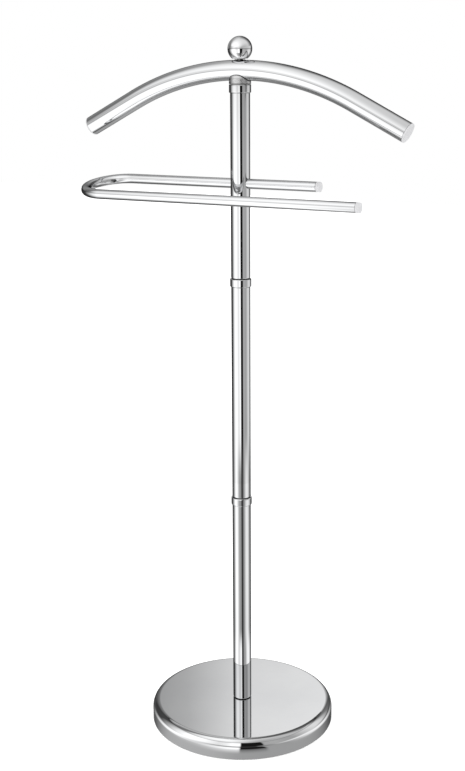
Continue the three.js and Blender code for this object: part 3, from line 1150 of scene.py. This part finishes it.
def makeRail():
    size = railSize
    radius = size["radius"]
    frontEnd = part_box("rail_cap_front")[1].x - size["capLength"]
    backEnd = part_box("rail_cap_back")[1].x - size["capLength"]
    bend = size["bendRadius"]
    points = [(frontEnd - step * millimetre, -2 * bend, 0) for step in size["edgeSteps"]]
    for step in range(size["bendSteps"] + 1):
        angle = math.pi * step / size["bendSteps"]
        points.append((size["bendX"] - bend * math.sin(angle), -bend * (1 + math.cos(angle)), 0))
    points += [(backEnd - step * millimetre, 0, 0) for step in reversed(size["edgeSteps"])]
    turn = railTurn()
    placed = [turn @ Vector(point) for point in points]
    mesh = sweptTube("trouserRail", placed, radius, size["wall"], size["sides"], chromeDrawn)
    addPiece("trouserRail", mesh, "rail", "chrome", "trouser_rail")

    profile = capProfile(
        radius, size["wall"], size["capLength"], size["plugLength"], size["capEdge"],
    )
    ends = (
        ("railCapBack", "rail_cap_back", backEnd, 0),
        ("railCapFront", "rail_cap_front", frontEnd, -2 * bend),
    )
    for name, node, along, across in ends:
        place = turn @ Matrix.Translation((along, across, 0)) @ Matrix.Rotation(math.pi / 2, 4, "Y")
        turnedPiece(
            name, profile, capPlastic, "rail", "grey_plastic", node, sides=64, place=place,
        )


capSize = {
    "gap": 0.3 * millimetre,
    "flange": 0.3 * millimetre,
    "plugEdge": 0.5 * millimetre,
    "flangeEdge": 0.2 * millimetre,
}


def capProfile(radius, wall, face, plugLength, edge):
    plugRadius = radius - wall - capSize["gap"]
    flange = capSize["flange"]
    return filleted([
        (0, -plugLength, 0),
        (plugRadius, -plugLength, capSize["plugEdge"]),
        (plugRadius, flange, 0),
        (radius, flange, capSize["flangeEdge"]),
        (radius, face, edge),
        (0, face, 0),
    ])


makeRail()
print("stage: trouser rail made")


hangerSize = {
    "radius": 14 * millimetre,
    "wall": 1.2 * millimetre,
    "arcRadius": 381 * millimetre,
    "arcHalfAngle": 27,  # degrees
    "straight": 87 * millimetre,
    "capThickness": 2 * millimetre,
    "capEdge": 0.5 * millimetre,
    "plugLength": 12 * millimetre,
    "cutterLength": 60 * millimetre,
    "studHole": 4.3 * millimetre,
    "sides": 96,
    "arcSteps": 120,
    "edgeSteps": (0, 0.4, 1.2, 4, 20, 50),  # support near the open ends, in millimetres
}
hangerHeight = heightsOf("hanger_bar")[1] - hangerSize["radius"]


def hangerPoint(along):
    limit = math.radians(hangerSize["arcHalfAngle"])
    arc = hangerSize["arcRadius"]
    angle = max(-limit, min(limit, along / arc))
    straight = along - angle * arc
    return Vector((
        arc * math.sin(angle) + straight * math.cos(angle),
        0,
        hangerHeight + arc * (math.cos(angle) - 1) - straight * math.sin(angle),
    ))


def makeHangerBar():
    size = hangerSize
    halfAngle = math.radians(size["arcHalfAngle"])
    halfArc = size["arcRadius"] * halfAngle
    half = halfArc + size["straight"] - size["capThickness"]
    stations = [step * millimetre - half for step in size["edgeSteps"]]
    for step in range(size["arcSteps"] + 1):
        stations.append(halfArc * (2 * step / size["arcSteps"] - 1))
    stations += [half - step * millimetre for step in reversed(size["edgeSteps"])]
    points = [hangerPoint(along) for along in stations]
    mesh = sweptTube("hangerBar", points, size["radius"], size["wall"], size["sides"], chromeDrawn)
    upright = Matrix.Translation((0, 0, hangerHeight))
    cutter = cylinderCutter(size["studHole"], size["cutterLength"], upright)
    mesh = cutMesh("hangerBar", mesh, [cutter])
    finishMesh(mesh, chromeDrawn)
    addPiece("hangerBar", mesh, "hanger", "chrome", "hanger_bar")

    profile = capProfile(
        size["radius"], size["wall"], size["capThickness"], size["plugLength"], size["capEdge"],
    )
    ends = (("hangerCapLeft", "hanger_cap_left", -1), ("hangerCapRight", "hanger_cap_right", 1))
    for name, node, side in ends:
        turn = Matrix.Rotation(side * (math.pi / 2 + halfAngle), 4, "Y")
        place = Matrix.Translation(hangerPoint(side * half)) @ turn
        turnedPiece(
            name, profile, capPlastic, "hanger", "grey_plastic", node, sides=96, place=place,
        )


saddleSize = {
    "shoulderDrop": 12 * millimetre,
    "topDrop": 6.5 * millimetre,
    "topRadius": 12.6 * millimetre,
    "hole": 4.3 * millimetre,
    "clearance": 0.5 * millimetre,
    "edge": 0.35 * millimetre,
    "sides": 160,
    "wallSteps": 26,
    "seatSteps": 14,
}


saddleOuter = radiusOf("hanger_saddle")


def saddleRadius(height):
    # The column is straight, then its shoulder draws in as a quarter ellipse.
    size = saddleSize
    outer = saddleOuter
    start = hangerHeight - size["shoulderDrop"]
    if height <= start:
        return outer
    rise = size["shoulderDrop"] - size["topDrop"]
    share = min(1.0, (height - start) / rise)
    return outer - (outer - size["topRadius"]) * (1 - math.sqrt(1 - share * share))


def makeSaddle():
    size = saddleSize
    foot = heightsOf("hanger_saddle")[0]
    seat = hangerSize["radius"] + size["clearance"]

    def seatHeight(across):
        return hangerHeight - math.sqrt(seat * seat - across * across)

    def contactHeight(angle):
        # Where the column's side meets the bar that lies in it.
        low, high = foot, hangerHeight - size["topDrop"]
        for _ in range(40):
            middle = (low + high) / 2
            across = saddleRadius(middle) * math.sin(angle)
            if abs(across) < seat and middle > seatHeight(across):
                high = middle
            else:
                low = middle
        return low

    bm = bmesh.new()
    edge = size["edge"]
    columns = []
    for side in range(size["sides"]):
        angle = 2 * math.pi * side / size["sides"]
        top = contactHeight(angle)
        outline = [
            (size["hole"], foot),
            (saddleRadius(foot) - edge, foot),
            (saddleRadius(foot), foot + edge),
        ]
        for step in range(1, size["wallSteps"] + 1):
            height = foot + edge + (top - foot - edge) * step / size["wallSteps"]
            outline.append((saddleRadius(height), height))
        rim = saddleRadius(top)
        for step in range(1, size["seatSteps"] + 1):
            radius = rim + (size["hole"] - rim) * step / size["seatSteps"]
            outline.append((radius, seatHeight(radius * math.sin(angle))))
        columns.append([
            bm.verts.new((radius * math.cos(angle), radius * math.sin(angle), height))
            for radius, height in outline
        ])
    for first, second in zip(columns, columns[1:] + columns[:1]):
        for index in range(len(first)):
            after = (index + 1) % len(first)
            bm.faces.new((first[index], second[index], second[after], first[after]))
    mesh = bpy.data.meshes.new("hangerSaddle")
    bm.to_mesh(mesh)
    bm.free()
    finishMesh(mesh, satinCasting, 30)
    addPiece("hangerSaddle", mesh, "hanger", "satin_metal", "hanger_saddle")


makeHangerBar()
makeSaddle()
print("stage: hanger made")


finialSize = {
    "flat": 11 * millimetre,
    "flatEdge": 0.5 * millimetre,
    "hole": 4.3 * millimetre,
    "holeEdge": 0.2 * millimetre,
    "washerEdge": 0.3 * millimetre,
    "depth": 13 * millimetre,
    "steps": 72,
}


def makeFinial():
    size = finialSize
    radius = radiusOf("finial_ball")
    foot, top = heightsOf("finial_ball")
    centre = top - radius
    start = -math.acos(size["flat"] / radius)
    outline = []
    for step in range(size["steps"]):
        angle = start + (math.pi / 2 - start) * step / size["steps"]
        outline.append((radius * math.cos(angle), centre + radius * math.sin(angle)))
    profile = [
        (0, foot + size["depth"]),
        (size["hole"], foot + size["depth"]),
        (size["hole"], foot + size["holeEdge"]),
        (size["hole"] + size["holeEdge"], foot),
        (outline[0][0] - size["flatEdge"], foot),
        *outline,
        (0, top),
    ]
    turnedPiece("finialBall", profile, chromeBall, "finial", "chrome", "finial_ball")
    low, high = heightsOf("finial_washer")
    turnedPiece(
        "finialWasher",
        ringProfile(size["hole"], radiusOf("finial_washer"), low, high, size["washerEdge"]),
        blackNylon, "finial_seat", "nylon", "finial_washer", sides=96,
    )


makeFinial()
print("stage: finial made")


carriedOver = {
    "base_bolt": zincPlate,
    # The foot inserts are near-black as painted shade: they show in the gap above each joint ring.
    "lower_post_foot_insert": blackOxideAndGapShade,
    "lower_post_head_insert": zincPlate,
    "lower_joint_stud": zincPlate,
    "middle_post_foot_insert": blackOxideAndGapShade,
    "middle_post_head_insert": zincPlate,
    "upper_joint_stud": zincPlate,
    "upper_post_foot_insert": blackOxideAndGapShade,
    "upper_post_head_insert": zincPlate,
    "finial_stud": zincPlate,
    "rail_clamp_bush": blackNylon,
    "rail_clamp_screw": blackOxideAndGapShade,
}
for nodeName, material in carriedOver.items():
    node = frame["nodes"][nodeName]
    node.data.materials.clear()
    node.data.materials.append(material)
print("stage: carried-over nodes finished")
